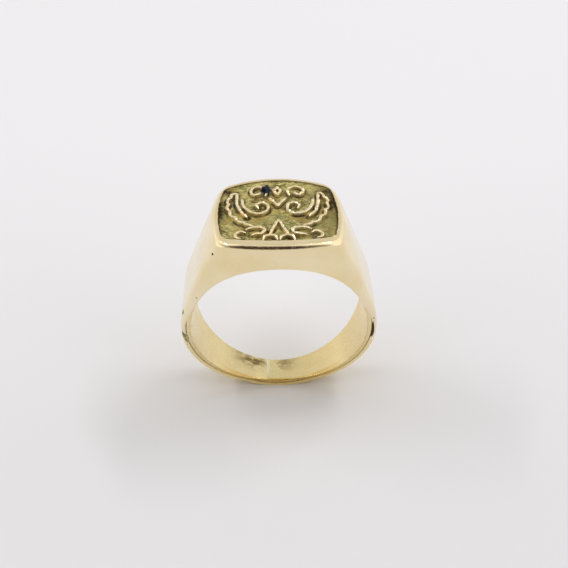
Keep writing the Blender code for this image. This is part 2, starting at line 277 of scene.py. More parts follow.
def settle(obj, slot, *nodes):
    """Hands a finished piece to the frame."""
    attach(obj, "root")
    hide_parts(*nodes)
    print(f"{obj.name}: {len(obj.data.polygons)} faces")


# %% [markdown]
# ## Shader arithmetic
# A material is a small calculation, so it reads best as one. A socket is wrapped in a class whose
# operators add Math nodes. Colours go through Mix nodes, because a Math node would turn them grey.


# %% A socket that can be calculated with
SPECULAR = 0.15


class Sock:
    """One output of a node, ready for sums."""

    def __init__(self, tree, socket):
        self.tree = tree
        self.socket = socket

    def sum_with(self, operation, first, second=0.0, third=0.0):
        return self.tree.node("ShaderNodeMath", {"operation": operation}, {0: first, 1: second, 2: third})

    def __add__(self, other):
        return self.sum_with("ADD", self, other)

    def __radd__(self, other):
        return self.sum_with("ADD", other, self)

    def __sub__(self, other):
        return self.sum_with("SUBTRACT", self, other)

    def __rsub__(self, other):
        return self.sum_with("SUBTRACT", other, self)

    def __mul__(self, other):
        return self.sum_with("MULTIPLY", self, other)

    def __rmul__(self, other):
        return self.sum_with("MULTIPLY", other, self)

    def __truediv__(self, other):
        return self.sum_with("DIVIDE", self, other)

    def __pow__(self, other):
        return self.sum_with("POWER", self, other)

    def __abs__(self):
        return self.sum_with("ABSOLUTE", self)

    def clamp(self):
        return self.tree.node("ShaderNodeClamp", {}, {0: self})

    def ramp(self, low, high):
        """0 at low, 1 at high, eased between them; low may be the larger."""
        return self.tree.node("ShaderNodeMapRange", {"interpolation_type": "SMOOTHSTEP"},
                              {"Value": self, "From Min": low, "From Max": high})

    def near(self, centre, reach):
        """1 at centre, falling to 0 this far away."""
        return abs(self - centre).ramp(reach, 0.0)


class Finish:
    """A material with one Principled shader, built from expressions."""

    def __init__(self, name):
        self.material = bpy.data.materials.new(name)
        self.material.use_nodes = True
        self.nodes = self.material.node_tree.nodes
        self.links = self.material.node_tree.links
        self.shader = self.nodes["Principled BSDF"]
        place = self.node("ShaderNodeTexCoord", {}, {}, "Object")
        self.place = self.node("ShaderNodeVectorMath", {"operation": "SCALE"}, {0: place, "Scale": 1.0 / MM},
                               "Vector")
        raised = self.node("ShaderNodeVectorMath", {"operation": "SUBTRACT"},
                           {0: self.place, 1: (0.0, 0.0, HOLE_HEIGHT)}, "Vector")
        split = self.node("ShaderNodeSeparateXYZ", {}, {0: raised}, None)
        self.x, self.y, self.z = (Sock(self, split.outputs[k]) for k in range(3))
        self.radius = (self.x * self.x + self.z * self.z) ** 0.5

    def node(self, kind, settings, inputs, output=0):
        """Adds a node, sets it up, connects or sets its inputs and wraps one output."""
        made = self.nodes.new(kind)
        for key, value in settings.items():
            if key == "stops":
                self.set_stops(made, value)
            else:
                setattr(made, key, value)
        for key, value in inputs.items():
            if isinstance(value, Sock):
                self.links.new(value.socket, made.inputs[key])
            else:
                made.inputs[key].default_value = value
        return made if output is None else Sock(self, made.outputs[output])

    @staticmethod
    def set_stops(made, stops):
        ramp = made.color_ramp
        while len(ramp.elements) < len(stops):
            ramp.elements.new(1.0)
        for element, (position, colour) in zip(ramp.elements, stops):
            element.position = position
            element.color = (*colour, 1.0)

    def noise(self, size, detail=3.0, stretch=(1.0, 1.0, 1.0), roughness=0.55, shift=0.0):
        """Noise with blobs of about this many millimetres, stretched along the axes."""
        scale = tuple(1.0 / (size * s) for s in stretch)
        moved = self.node("ShaderNodeMapping", {}, {"Vector": self.place, "Scale": scale,
                                                     "Location": (shift, shift * 0.7, -shift)}, "Vector")
        return self.node("ShaderNodeTexNoise", {}, {"Vector": moved, "Scale": 1.0, "Detail": detail,
                                                     "Roughness": roughness}, "Fac")

    def mix(self, factor, first, second):
        """A colour part of the way from the first to the second."""
        colours = [c if isinstance(c, Sock) else (*c, 1.0) for c in (first, second)]
        return self.node("ShaderNodeMix", {"data_type": "RGBA"},
                         {0: factor, 6: colours[0], 7: colours[1]}, 2)

    def bump(self, height, depth, normal=None):
        """Relief of this depth in millimetres, on top of another relief if there is one."""
        inputs = {"Height": height, "Distance": depth * MM, "Strength": 1.0}
        if normal is not None:
            inputs["Normal"] = normal
        return self.node("ShaderNodeBump", {}, inputs, "Normal")

    def stored(self, name):
        """A value kept on the mesh, point by point."""
        return self.node("ShaderNodeAttribute", {"attribute_name": name}, {}, "Fac")

    def finish(self, colour, roughness, normal, metallic=1.0):
        self.shader.inputs["Specular IOR Level"].default_value = SPECULAR
        for name, value in (("Base Color", colour), ("Roughness", roughness), ("Normal", normal),
                            ("Metallic", metallic)):
            if isinstance(value, Sock):
                self.links.new(value.socket, self.shader.inputs[name])
            elif value is not None:
                self.shader.inputs[name].default_value = value
        return self.material


# %% [markdown]
# ## Gold finishes
# The head is a warm pale gold, the back of the band a deeper yellow, the ground a greenish gold that
# was never polished. Each mixes a few tones of its alloy over slow noise, adds hairline scratches
# as bump, and lets the scratches and handling roughen the polish a little. On the sleeve a finger
# has worn the scratches almost away.

# %% Polished golds
ROSE = (0.95, 0.82, 0.535)
ROSE_DEEP = (0.90, 0.74, 0.42)
YELLOW = (0.99, 0.81, 0.38)
YELLOW_DEEP = (0.96, 0.74, 0.30)
PALE = (0.84, 0.73, 0.39)
SLEEVE = (0.885, 0.79, 0.525)
SLEEVE_WARM = (0.95, 0.79, 0.45)
SLEEVE_DEEP = (0.81, 0.66, 0.34)
SOLDER_BRIGHT = (0.96, 0.91, 0.70)
DARK_LINE_AND_WALL = (0.09, 0.048, 0.018)
SEAM_BROWN = (0.22, 0.14, 0.045)
LIP_SHADE = (0.72, 0.50, 0.16)
SHOULDER_REFLECTION = (0.93, 0.86, 0.70)
SHANK_REFLECTION = (0.95, 0.86, 0.62)
ENGRAVED = (0.90, 0.80, 0.56)
ENGRAVED_DULL = (0.42, 0.32, 0.13)
BLUE_BLACK = (0.010, 0.012, 0.030)
SLEEVE_RIGHT = (0.88, 0.67, 0.31)
SLEEVE_SHADE = (0.72, 0.59, 0.30)
SLEEVE_DIRT = (0.20, 0.14, 0.05)
PALE_DEEP = (0.72, 0.62, 0.32)
SEAM_SHARE = 0.85
SHANK_SEAM = 0.065  # how far the seam's brown reaches, on the shank and on the sleeve
SLEEVE_SEAM = 0.09
INSERT_LEFT = -1.36


def scratches(f, size, thin, seed):
    """Hairlines in three directions, 1 on a line."""
    total = None
    for k, stretch in enumerate(((14.0, 0.35, 1.0), (0.5, 10.0, 0.6), (0.7, 1.0, 12.0))):
        lines = f.noise(size, 1.0, stretch, 0.4, seed + 3.7 * k)
        line = lines.near(0.5, thin)
        total = line if total is None else total + line
    return total.clamp()


def polished_gold(name, light, deep, rough_low, rough_high, seed, grain=1.0):
    f = Finish(name)
    tone = f.noise(4.5, 4.0, shift=seed).ramp(0.35, 0.68)
    smear = f.noise(1.4, 5.0, shift=seed + 5.0).ramp(0.42, 0.7)
    hair = scratches(f, 0.9, 0.018, seed + 9.0)
    colour = f.mix(tone, light, deep)
    rough = rough_low + (rough_high - rough_low) * smear + 0.10 * grain * hair
    wave = f.noise(2.6, 2.0, shift=seed + 2.0)
    fine = f.noise(0.25, 3.0, shift=seed + 4.0)
    normal = f.bump(wave, 0.008)
    normal = f.bump(fine, 0.0010 * grain, normal)
    normal = f.bump(1.0 - hair, 0.0009 * grain, normal)
    return f, colour, rough, normal


def rose_gold():
    """Head metal: yellower low down, sides paler as painted reflection, a painted dark reflection line under
    the rim's front, and a darker recess wall.
    """
    f, colour, rough, normal = polished_gold("rose_tinted_gold", ROSE, ROSE_DEEP, 0.10, 0.20, 1.0)
    colour = f.mix(f.z.ramp(2.0, -3.0) * 0.4, colour, YELLOW)
    # Paler towards the sides: a painted reflection of the white tent, which the sides see at a grazing
    # angle.
    colour = f.mix(abs(f.x).ramp(6.0, 10.4) * 0.45, colour, SHOULDER_REFLECTION)
    # line: a painted reflection of the dark room in front, laid along the bottom of the rim's front round
    line = f.stored("line")
    # The recess's inner wall is painted darker in colour.
    foul = f.stored("foul")
    grain = f.noise(0.2, 3.0, shift=51.0).ramp(0.3, 0.6)
    darkening = (line * (0.75 + 0.5 * grain) + foul * (0.15 + 0.55 * grain)).clamp()
    colour = f.mix(darkening, colour, DARK_LINE_AND_WALL)
    return f.finish(colour, rough + 0.4 * darkening, normal, 1.0 - 0.8 * darkening)


def engraved_gold():
    """The scrolls: head metal left matt by the graver, a little dirty in places."""
    f, colour, rough, normal = polished_gold("engraved_gold", ENGRAVED, ROSE_DEEP, 0.34, 0.46, 91.0)
    dull = f.noise(0.5, 3.0, shift=93.0).ramp(0.56, 0.70) * 0.5
    colour = f.mix(dull, colour, ENGRAVED_DULL)
    spot = (f.x.near(-1.15, 0.75) * f.y.near(4.25, 1.2)).ramp(0.22, 0.36)
    colour = f.mix(spot, colour, BLUE_BLACK)
    return f.finish(colour, rough, normal, 1.0 - 0.8 * spot)


def band_gold():
    f, colour, rough, normal = polished_gold("yellow_gold", YELLOW, YELLOW_DEEP, 0.28, 0.38, 21.0)
    # Paler towards the sides: a painted reflection of the white tent, which the sides see at a grazing
    # angle.
    colour = f.mix(abs(f.x).ramp(5.0, 10.4) * 0.45, colour, SHANK_REFLECTION)
    colour = f.mix(f.radius.near(LINER_OUTER, SHANK_SEAM) * SEAM_SHARE, colour, SEAM_BROWN)
    return f.finish(colour, rough, normal)


def sleeve_gold():
    """The finger side: paler up the left, painted shade at the bottom, low at both sides and on the lip,
    smudged near the back edge, pitted.
    """
    f, colour, rough, normal = polished_gold("sleeve_gold", SLEEVE, SLEEVE_WARM, 0.24, 0.34, 41.0, 0.03)
    uneven = f.noise(2.2, 4.0, shift=17.0).ramp(0.3, 0.7)
    # Deeper colour towards the bottom is painted shade, standing in for the darker light that the ring's
    # inside reflects onto itself.
    low = f.z.ramp(1.0, -4.5) * (0.7 + 0.3 * uneven)
    colour = f.mix(low, colour, SLEEVE_DEEP)
    colour = f.mix(f.x.ramp(-4.0, 7.0) * 0.35, colour, SLEEVE_RIGHT)
    shade = f.x.near(-6.1, 3.2) * f.z.near(-7.0, 3.2) * 0.55 + f.x.near(7.2, 2.6) * f.z.near(-6.0, 3.2) * 0.3
    colour = f.mix(shade, colour, SLEEVE_SHADE)
    back = f.y.ramp(-0.9, 1.0)
    smudge = f.noise(0.7, 6.0, (1.8, 1.0, 1.0), roughness=0.7, shift=8.0).ramp(0.34, 0.58)
    smudge = smudge * f.z.ramp(-5.6, -8.2) * back * (f.x.near(-2.9, 3.0) + 0.6 * f.x.near(0.6, 2.2)).clamp()
    specks = f.noise(0.30, 2.0, shift=31.0).ramp(0.72, 0.77)
    edge = f.noise(0.5, 4.0, shift=77.0).ramp(0.5, 0.6) * f.z.ramp(-8.9, -9.6) * f.y.ramp(-1.2, -1.7)
    darkening = (smudge * 1.15 + specks * 0.6 + edge * 0.5).clamp()
    solder_side = f.x.near(INSERT_LEFT - 0.1, 0.3) * f.z.ramp(-8.0, -9.0) * f.y.ramp(-1.3, 0.2)
    colour = f.mix(solder_side * 0.6, colour, SOLDER_BRIGHT)
    # The lip along the bottom front edge is painted darker and browner, as shade.
    lip = f.z.ramp(-6.0, -8.5) * f.y.ramp(-1.5, -1.72)
    colour = f.mix(lip * 0.9, colour, LIP_SHADE)
    colour = f.mix(darkening, colour, SLEEVE_DIRT)
    colour = f.mix(f.radius.near(LINER_OUTER, SLEEVE_SEAM) * SEAM_SHARE, colour, SEAM_BROWN)
    return f.finish(colour, rough + 0.15 * darkening, f.bump(1.0 - specks, 0.01, normal))


def insert_gold():
    """Paler than the sleeve on the finger side, with a bright solder line up its square end."""
    f, colour, rough, normal = polished_gold("pale_green_gold", PALE, PALE_DEEP, 0.24, 0.34, 61.0)
    bright = f.x.near(INSERT_LEFT + 0.05, 0.42) * f.y.ramp(-1.2, -0.2)
    colour = f.mix(bright * 0.6, colour, SOLDER_BRIGHT)
    colour = f.mix(f.x.ramp(-0.3, 1.0) * 0.7, colour, SLEEVE_DEEP)
    # The front edge at the bottom is painted darker and browner, as shade.
    colour = f.mix(f.y.ramp(-1.30, -1.55), colour, LIP_SHADE)
    return f.finish(colour, rough, normal)


def filed_solder():
    f, colour, rough, normal = polished_gold("filed_solder", YELLOW, ROSE_DEEP, 0.14, 0.28, 71.0)
    return f.finish(colour, rough, normal)


def solder_gold():
    f = Finish("gold_solder")
    lumps = f.noise(0.22, 4.0, shift=3.0)
    colour = f.mix(lumps.ramp(0.35, 0.65), (0.20, 0.17, 0.06), (0.62, 0.56, 0.30))
    return f.finish(colour, 0.32 + 0.25 * lumps, f.bump(lumps, 0.03))


def grime():
    f = Finish("grime")
    grain = f.noise(0.12, 3.0, shift=6.0)
    colour = f.mix(grain.ramp(0.35, 0.65), (0.08, 0.055, 0.022), (0.42, 0.29, 0.12))
    return f.finish(colour, 0.55 + 0.3 * grain, f.bump(grain, 0.03), 0.5)


rose = rose_gold()
engraved = engraved_gold()
yellow = band_gold()
sleeve = sleeve_gold()
pale = insert_gold()
solder = filed_solder()
rough_solder = solder_gold()
dark = grime()
print("metals:", [m.name for m in (rose, engraved, yellow, sleeve, pale, solder, rough_solder, dark)])

# %% [markdown]
# ## The sunk ground's finish
# A graver cut the ground away in short level strokes and never polished it. The hollows beside the scrolls
# and at the foot of the rim are darkened as tarnish and as painted shade, olive over green gold; the corners
# are darker brown, and a blue-black stain lies by one scroll.


# %% Tarnished, hatched gold
def ground_gold():
    f = Finish("aged_green_gold")
    hatch = f.noise(0.10, 3.0, (6.0, 1.0, 1.0), 0.65, 12.0)
    cross = f.noise(0.16, 3.0, (1.0, 2.0, 1.0), 0.6, 2.0)
    cloud = f.noise(1.3, 5.0, shift=14.0, roughness=0.65)
    tone = (0.36 * cloud + 0.42 * hatch + 0.22 * cross).ramp(0.42, 0.58)
    colour = f.mix(tone, (0.12, 0.097, 0.026), (0.71, 0.62, 0.25))
    warm = f.noise(1.9, 4.0, shift=40.0).ramp(0.52, 0.66)
    colour = f.mix(warm * 0.7, colour, (0.52, 0.36, 0.11))
    green = f.noise(2.3, 3.0, shift=63.0).ramp(0.50, 0.64)
    colour = f.mix(green * 0.35, colour, (0.36, 0.37, 0.13))
    colour = f.mix(f.x.ramp(1.5, 5.5) * 0.6, colour, (0.26, 0.21, 0.075))
    # The stored hollows darken the ground as tarnish and as painted shade beside the scrolls and at the foot
    # of the rim, and make it darker in the corners.
    depth = f.stored("hollow")
    grain = f.noise(0.3, 4.0, shift=90.0).ramp(0.25, 0.6)
    sunk = (depth * (0.55 + 0.75 * grain)).clamp()
    colour = f.mix(sunk, colour, (0.06, 0.042, 0.014))
    blue = f.stored("stain")
    colour = f.mix(blue, colour, BLUE_BLACK)
    rough = 0.34 + 0.2 * cloud + 0.25 * sunk
    normal = f.bump(hatch, 0.045)
    normal = f.bump(cross, 0.02, normal)
    return f.finish(colour, rough.clamp(), normal, 1.0 - 0.7 * (blue + sunk * 0.5).clamp())


ground = ground_gold()
print("ground finish:", ground.name)

# %% [markdown]
# ## Head and shoulders
# The shell is a bent sheet with two soldered ends. It could be subdivided from a cage, but its
# reflections would then show every pull of the cage, so it is a tall tube of exact plan outlines with
# an inner wall. The finger bore is cut by a flared tool, which leaves a burnished round on the edge.
# From a little above the hole's middle that edge is rubbed over the sleeve, and lower down the
# sleeve's lip shows.

# %% Loft the shell
PLAN_STEPS = (26, 20, 44)
SHELL_WALL = 0.65
EDGE_ROUND = 0.07
LIP_DEPTH = 0.12
COVER_START = 0.8
COVER_RISE = 3.0
SHELL_ROWS = 96
DOMING_START = 7.0
THINNING = 1.5  # the wall thins to the rim's width over this height
FILING_DEPTH = 0.012
FILING_LENGTH = 7.0
seat_height = FACE_TOP - RIM_HEIGHT


def covered(height):
    """How far the shell is rubbed over the sleeve's edge: 0 low on the sides, 1 over the top."""
    share = np.clip((height - COVER_START) / COVER_RISE, 0.0, 1.0)
    return share * share * (3.0 - 2.0 * share)


def shell_rows():
    low = JOINT_HEIGHT + SEAM_HALF
    heights = np.linspace(low, seat_height, SHELL_ROWS)
    share = np.clip((heights - DOMING_START) / (seat_height - DOMING_START), 0.0, 1.0)
    walls = RIM_WIDTH + (SHELL_WALL - RIM_WIDTH) * np.minimum((seat_height - heights) / THINNING, 1.0)
    outer = [domed_row(h, 0.0, s, PLAN_STEPS) for h, s in zip(heights, share)]
    inner = [domed_row(h, wall, s, PLAN_STEPS)
             for h, wall, s in zip(heights[::-4], walls[::-4], share[::-4])]
    inner.append(domed_row(low, SHELL_WALL, 0.0, PLAN_STEPS))
    return np.array(outer), np.array(inner)


def bore_tool(turns=360):
    angles = np.linspace(0.0, 2.0 * math.pi, turns, endpoint=False)
    over = covered(SHELL_RADIUS * np.sin(angles))
    lip = SHELL_RADIUS + (HOLE_RADIUS - SHELL_RADIUS) * over
    profile = [(SHELL_RADIUS, LIP_DEPTH + 0.01), (lip, LIP_DEPTH)]
    for a in np.linspace(0.0, math.pi / 2.0, 7):
        profile.append((lip + EDGE_ROUND * (1.0 - math.cos(a)), EDGE_ROUND * (1.0 - math.sin(a))))
    profile.append((lip + EDGE_ROUND, -2.0))
    far = []
    for radius, inset in profile:
        x = radius * np.cos(angles)
        z = radius * np.sin(angles)
        far.append(np.stack([x, wall_y(x, z) - inset, z], 1))
    near = [row * [1.0, -1.0, 1.0] for row in far[::-1]]
    return bar_object("bore", np.array(near + far), rose)


outer, inner = shell_rows()
hand = FILING_DEPTH * wander(outer, FILING_LENGTH, 4)[..., None]
fade = np.clip((seat_height - outer[..., 2:3]) / 3.0, 0.0, 1.0)
outer = outer + hand * np.array([1.0, 1.0, 0.0]) * np.sign(outer) * rise(outer[..., 2:3]) * fade
shoulders = torus_object("shoulders", np.concatenate([outer, inner]), rose)
subtract(shoulders, bore_tool())

# %% [markdown]
# On the right the joint has worn through. A small crooked wedge is bitten out of the shell's lower
# corner, and the faces that the bite leaves keep the bite's own dark material. A nick, a pinhole and
# a scratch on the left, and a speck on the right, are bitten out in the same way.


# %% Bite out the wear
def bite(name, centre, reach, narrowing, seed, material=None):
    """A lumpy ball, narrower towards its top, ready to be subtracted."""
    bm = bmesh.new()
    bmesh.ops.create_icosphere(bm, subdivisions=3, radius=1.0)
    points = np.array([v.co for v in bm.verts])
    faces = [tuple(v.index for v in face.verts) for face in bm.faces]
    bm.free()
    points = points * (1.0 + 0.14 * wander(points, 1.3, seed)[:, None])
    points[:, 0] = points[:, 0] * (1.0 - narrowing * points[:, 2]) + narrowing * points[:, 2]
    return as_object(name, points * reach + centre, faces, material or dark)


BITES = (("wear", (9.80, -3.90, -0.55), (0.34, 0.50, 1.45), 0.50, 8),
         ("nick", (-6.57, -4.66, 10.63), (0.15, 0.17, 0.13), 0.2, 9),
         ("pinhole", (-8.46, -4.42, 4.94), (0.08, 0.15, 0.07), 0.0, 10),
         ("scratch", (-10.08, -3.75, 2.60), (0.13, 0.20, 0.38), 0.3, 11),
         ("speck", (9.98, -4.00, 1.50), (0.08, 0.12, 0.10), 0.0, 12))
for name, centre, reach, narrowing, seed in BITES:
    subtract(shoulders, bite(name, centre, reach, narrowing, seed))


def even_normals(obj):
    """Lets large faces decide the shading, so that small rounds do not bend the reflections."""
    modifier = obj.modifiers.new("even", "WEIGHTED_NORMAL")
    modifier.keep_sharp = True
    bake_modifiers(obj)


smooth_shade(shoulders, 32.0)
even_normals(shoulders)
settle(shoulders, "rose_tinted_gold", "head_shell")

# %% [markdown]
# ## The rim
# The rim is one polished frame. At the front and back its outer edge is a tight round above a
# straight wall, and along the sides it is worn to a long soft round that runs into the shoulders. The
# section is swept round the plan outline, and its round changes with the way the outline faces.

# %% Sweep the rim
RIM_ROUND_FRONT = 0.34
RIM_ROUND_SIDE = (0.50, 0.60)
CORNER_SOFTENING = 0.28
RECESS_ROUND = 0.05
RECESS_EDGE = 0.06
LINE_LEFT = -6.0
LINE_RIGHT = 5.3
LINE_TAPERS = (2.5, 4.0)  # lengths over which the line thins out at its left and right ends
LINE_THIN = 0.04
LINE_SWELL = 0.13


def outline_facing(plan):
    """How squarely each point of an outline faces the front or the back, 0 to 1."""
    along = np.roll(plan, -1, axis=0) - np.roll(plan, 1, axis=0)
    return np.square(along[:, 0]) / np.sum(np.square(along), axis=1)


def rim_rows():
    """For each step of the section: distance in, depth, and 1 where it is the recess's wall."""
    top = domed_row(FACE_TOP, 0.0, 1.0, PLAN_STEPS)
    facing = outline_facing(top[:, :2])
    across = RIM_ROUND_SIDE[0] + (RIM_ROUND_FRONT - RIM_ROUND_SIDE[0]) * facing**4
    across = across + CORNER_SOFTENING * (1.0 - abs(2.0 * facing - 1.0)) * (top[:, 1] < 0.0)
    down = RIM_ROUND_SIDE[1] + (RIM_ROUND_FRONT - RIM_ROUND_SIDE[1]) * facing**4
    whole = np.ones(len(top))
    rows = [(RIM_WIDTH * whole, d * whole, 1.0) for d in np.linspace(RIM_HEIGHT, RECESS_EDGE, 10)]
    for a in np.linspace(0.0, math.pi / 2.0, 5)[1:]:
        inset = RIM_WIDTH - RECESS_ROUND * (1.0 - math.cos(a))
        rows.append((inset * whole, RECESS_ROUND * (1.0 - math.sin(a)) * whole, 0.0))
    for a in np.linspace(math.pi / 2.0, 0.0, 20):
        rows.append((across * (1.0 - math.cos(a)), down * (1.0 - math.sin(a)), 0.0))
    rows += [(0.0 * whole, down + (RIM_HEIGHT - down) * s, 0.0) for s in np.linspace(0.0, 1.0, 6)[1:]]
    rows.append((RIM_WIDTH * 0.5 * whole, RIM_HEIGHT * whole, 0.0))
    return rows


def rim_grid():
    inner_plan = recess_outline(0.0, PLAN_STEPS)
    ragged = wander(np.column_stack([inner_plan, 0.0 * inner_plan[:, 0]]), 1.1, 5)
    inner_plan = inner_plan * (1.0 + 0.005 * ragged[:, None])
    inner_row = np.column_stack([inner_plan, FACE_TOP - bow_drop(FACE_DOME, inner_plan[:, 0])])
    grid, line, foul = [], [], []
    apart = np.linalg.norm(domed_row(FACE_TOP, 0.0, 1.0, PLAN_STEPS)[:, :2] - inner_plan, axis=1)
    for inset, depth, wall in rim_rows():
        levels = np.unique(np.round(depth, 9))
        rows = {level: domed_row(FACE_TOP - level, 0.0, 1.0, PLAN_STEPS) for level in levels}
        outer_row = np.array([rows[level][k] for k, level in enumerate(np.round(depth, 9))])
        in_recess = inset > RIM_WIDTH - RECESS_EDGE
        share = np.where(in_recess, 1.0 - (RIM_WIDTH - inset) / apart, inset / apart)[:, None]
        sunk = inner_row - np.column_stack([0.0 * depth, 0.0 * depth, depth])
        grid.append(outer_row * (1.0 - share) + sunk * share)
        x = grid[-1][:, 0]
        taper = np.clip((x - LINE_LEFT) / LINE_TAPERS[0], 0.0, 1.0)
        taper = taper * np.clip((LINE_RIGHT - x) / LINE_TAPERS[1], 0.0, 1.0)
        thick = LINE_THIN + LINE_SWELL * taper
        # A dark band along the bottom of the front round, thinning towards both ends: a painted reflection
        # of the dark room in front.
        mark = np.exp(-((depth - RIM_ROUND_FRONT + 0.12) / thick) ** 4) * np.sqrt(taper)
        line.append(mark * (share[:, 0] < 0.6) * (grid[-1][:, 1] < 0.0))
        # The recess's inner wall gets a darker colour, stronger further down the wall.
        foul.append(wall * np.clip(depth / 0.2, 0.0, 1.0))
    return np.array(grid), np.array(line), np.array(foul)


def store(obj, name, values):
    attribute = obj.data.attributes.new(name, "FLOAT", "POINT")
    padded = np.zeros(len(obj.data.vertices), np.float32)
    flat_values = np.asarray(values, np.float32).reshape(-1)
    padded[:len(flat_values)] = flat_values
    attribute.data.foreach_set("value", padded)


rim_points, painted_reflection_line, rim_wall_dark = rim_grid()
rim = torus_object("face_rim", rim_points, rose)
store(rim, "line", painted_reflection_line)
store(rim, "foul", rim_wall_dark)
smooth_shade(rim, 50.0)
settle(rim, "rose_tinted_gold", "bezel_rim")

# %% [markdown]
# ## Band pieces
# The sleeve and the shank are turned shapes whose width follows the walls. Each is a section of
# (radius, share of the width, inset from the wall) carried round the hole, so its edges stay parallel
# to the walls and can be rounded exactly.


# %% Sections that follow the walls
def band_section(inner_radius, outer_radius, inner_round, outer_round, across):
    """A closed section: the finger side, two round edges, the outside and two more."""
    quarter = [(1.0 - math.cos(a), 1.0 - math.sin(a)) for a in np.linspace(0.0, math.pi / 2.0, 7)]
    section = [(inner_radius, s, inner_round) for s in np.linspace(-1.0, 1.0, across)]
    section += [(inner_radius + inner_round * c, 1.0, inner_round * d) for c, d in quarter[1:]]
    section += [(outer_radius - outer_round * d, 1.0, outer_round * c) for c, d in quarter]
    section += [(outer_radius, s, outer_round) for s in np.linspace(1.0, -1.0, across)[1:]]
    section += [(outer_radius - outer_round * c, -1.0, outer_round * d) for c, d in quarter[1:]]
    section += [(inner_radius + inner_round * d, -1.0, inner_round * c) for c, d in quarter[:-1]]
    return np.array(section)


def band_grid(section, turns, tucked=0.0):
    """Turns is one row of angles, or a grid with its own angle for each point of the section."""
    radius, share, inset = section.T
    x = radius * np.cos(turns)
    z = radius * np.sin(turns)
    y = share * (wall_y(x, z) - inset - tucked * covered(z))
    return np.stack([x, y, z], -1)


DOWN = -math.pi / 2.0
INSERT_BACK = -0.6
INSERT_FRONT = 1.07


def insert_edges(section, clearance):
    """Angles of the insert's two ends for each point of a section: one square, one slanted."""
    radius, share, _ = section.T
    middle = (INSERT_FRONT + INSERT_BACK) / 2.0
    slant = middle - share * (INSERT_FRONT - INSERT_BACK) / 2.0
    return DOWN + (INSERT_LEFT - clearance) / radius, DOWN + (slant + clearance) / radius


def sweep(first, last, count):
    steps = np.linspace(0.0, 1.0, count)[:, None]
    return first * (1.0 - steps) + last * steps


HAIRLINE = 0.002
sleeve_section = band_section(HOLE_RADIUS, LINER_OUTER, 0.14, 0.07, 15)
left_end, right_end = insert_edges(sleeve_section, HAIRLINE)
sleeve_points = band_grid(sleeve_section, sweep(right_end, left_end + 2.0 * math.pi, 420), LIP_DEPTH - 0.05)
liner = bar_object("finger_sleeve", sleeve_points, sleeve)
smooth_shade(liner, 50.0)
settle(liner, "yellow_gold", "inner_liner")

left_end, right_end = insert_edges(sleeve_section, 0.0)
patch = bar_object("sizing_patch", band_grid(sleeve_section, sweep(left_end, right_end, 24)), pale)
smooth_shade(patch, 50.0)
settle(patch, "pale_green_gold", "sizing_insert")

# %% [markdown]
# ## Back shank and solder
# The shank runs from joint to joint under the sleeve. Its ends are level cuts, so the angle where it
# stops depends on the radius. Solder fills each joint flush with the band, and on the left a rough
# blob of it was never filed off the front corner.


# %% Shank with a flat foot
def level_ends(section, height):
    turn = np.arcsin(height / section[:, 0])
    return math.pi - turn, 2.0 * math.pi + turn


shank_section = band_section(SHELL_RADIUS, OUTER_RADIUS, 0.07, 0.26, 15)
first, last = level_ends(shank_section, JOINT_HEIGHT - SEAM_HALF)
shank_points = band_grid(shank_section, sweep(first, last, 260))
shank_points[..., 2] = np.maximum(shank_points[..., 2], -HOLE_HEIGHT)
shank = bar_object("lower_shank", shank_points, yellow)
smooth_shade(shank, 50.0)
settle(shank, "yellow_gold", "back_shank")


def solder_line(name, side):
    """The filed joint: one short flush slice of the band."""
    rows = []
    for height in np.linspace(JOINT_HEIGHT - SEAM_HALF, JOINT_HEIGHT + SEAM_HALF, 3):
        turn = np.arcsin(height / shank_section[:, 0])
        rows.append(band_grid(shank_section, turn if side > 0 else math.pi - turn))
    return bar_object(name, np.array(rows), solder)


def joined(name, *pieces):
    """Several meshes as one object, each with its own material."""
    bm = bmesh.new()
    slots = []
    for piece in pieces:
        start = len(bm.faces)
        bm.from_mesh(piece.data)
        bm.faces.ensure_lookup_table()
        for face in bm.faces[start:]:
            face.material_index += len(slots)
        slots += list(piece.data.materials)
        bpy.data.objects.remove(piece)
    mesh = bpy.data.meshes.new(name)
    bm.to_mesh(mesh)
    bm.free()
    for material in slots:
        mesh.materials.append(material)
    return linked(name, mesh)


blob = bite("blob", (-9.97, -3.66, -0.85), (0.30, 0.20, 0.85), -0.40, 15, rough_solder)
left_joint = joined("solder_line_left", solder_line("left_slice", -1.0), blob)
smooth_shade(left_joint, 60.0)
settle(left_joint, "gold_solder", "solder_seam_left")
right_joint = solder_line("solder_line_right", 1.0)
smooth_shade(right_joint, 60.0)
settle(right_joint, "gold_solder", "solder_seam_right")

# %% [markdown]
# ## The ornament's paths
# The ornament is leaves, scrolls, volutes, tendrils and curls at the sides, with a chevron, a lozenge
# and a peak on two arches in the middle. Its layout still follows the device of the ring that it is
# modelled on, and is to be redrawn before use. Each piece is one or more lines in the plan of the
# face, and the side pieces are mirrored.


# %% Paths of the scrolls
def smooth_path(points, steps=8):
    """A Catmull-Rom curve through a few points."""
    nodes = [np.array(p, float) for p in points]
    nodes = [2.0 * nodes[0] - nodes[1]] + nodes + [2.0 * nodes[-1] - nodes[-2]]
    path = []
    for a, b, c, d in zip(nodes, nodes[1:], nodes[2:], nodes[3:]):
        for k in range(steps):
            t = k / steps
            path.append(0.5 * (2.0 * b + (c - a) * t + (2.0 * a - 5.0 * b + 4.0 * c - d) * t**2
                               + (3.0 * b - a - 3.0 * c + d) * t**3))
    return np.array(path + [nodes[-2]])


def half_ring(centre_x, centre_y, radius):
    turns = np.linspace(math.pi, 0.0, 15)
    return np.stack([centre_x + radius * np.cos(turns), centre_y + radius * np.sin(turns)], 1)


def lobed(path, lobes, swing):
    """The same path swung out to its left in a row of leaf tips."""
    along = np.gradient(path, axis=0)
    along = along / np.linalg.norm(along, axis=1)[:, None]
    share = np.linspace(0.0, 1.0, len(path))
    tips = swing * np.abs(np.sin(math.pi * lobes * share))[:, None]
    return path + tips * np.stack([-along[:, 1], along[:, 0]], 1)


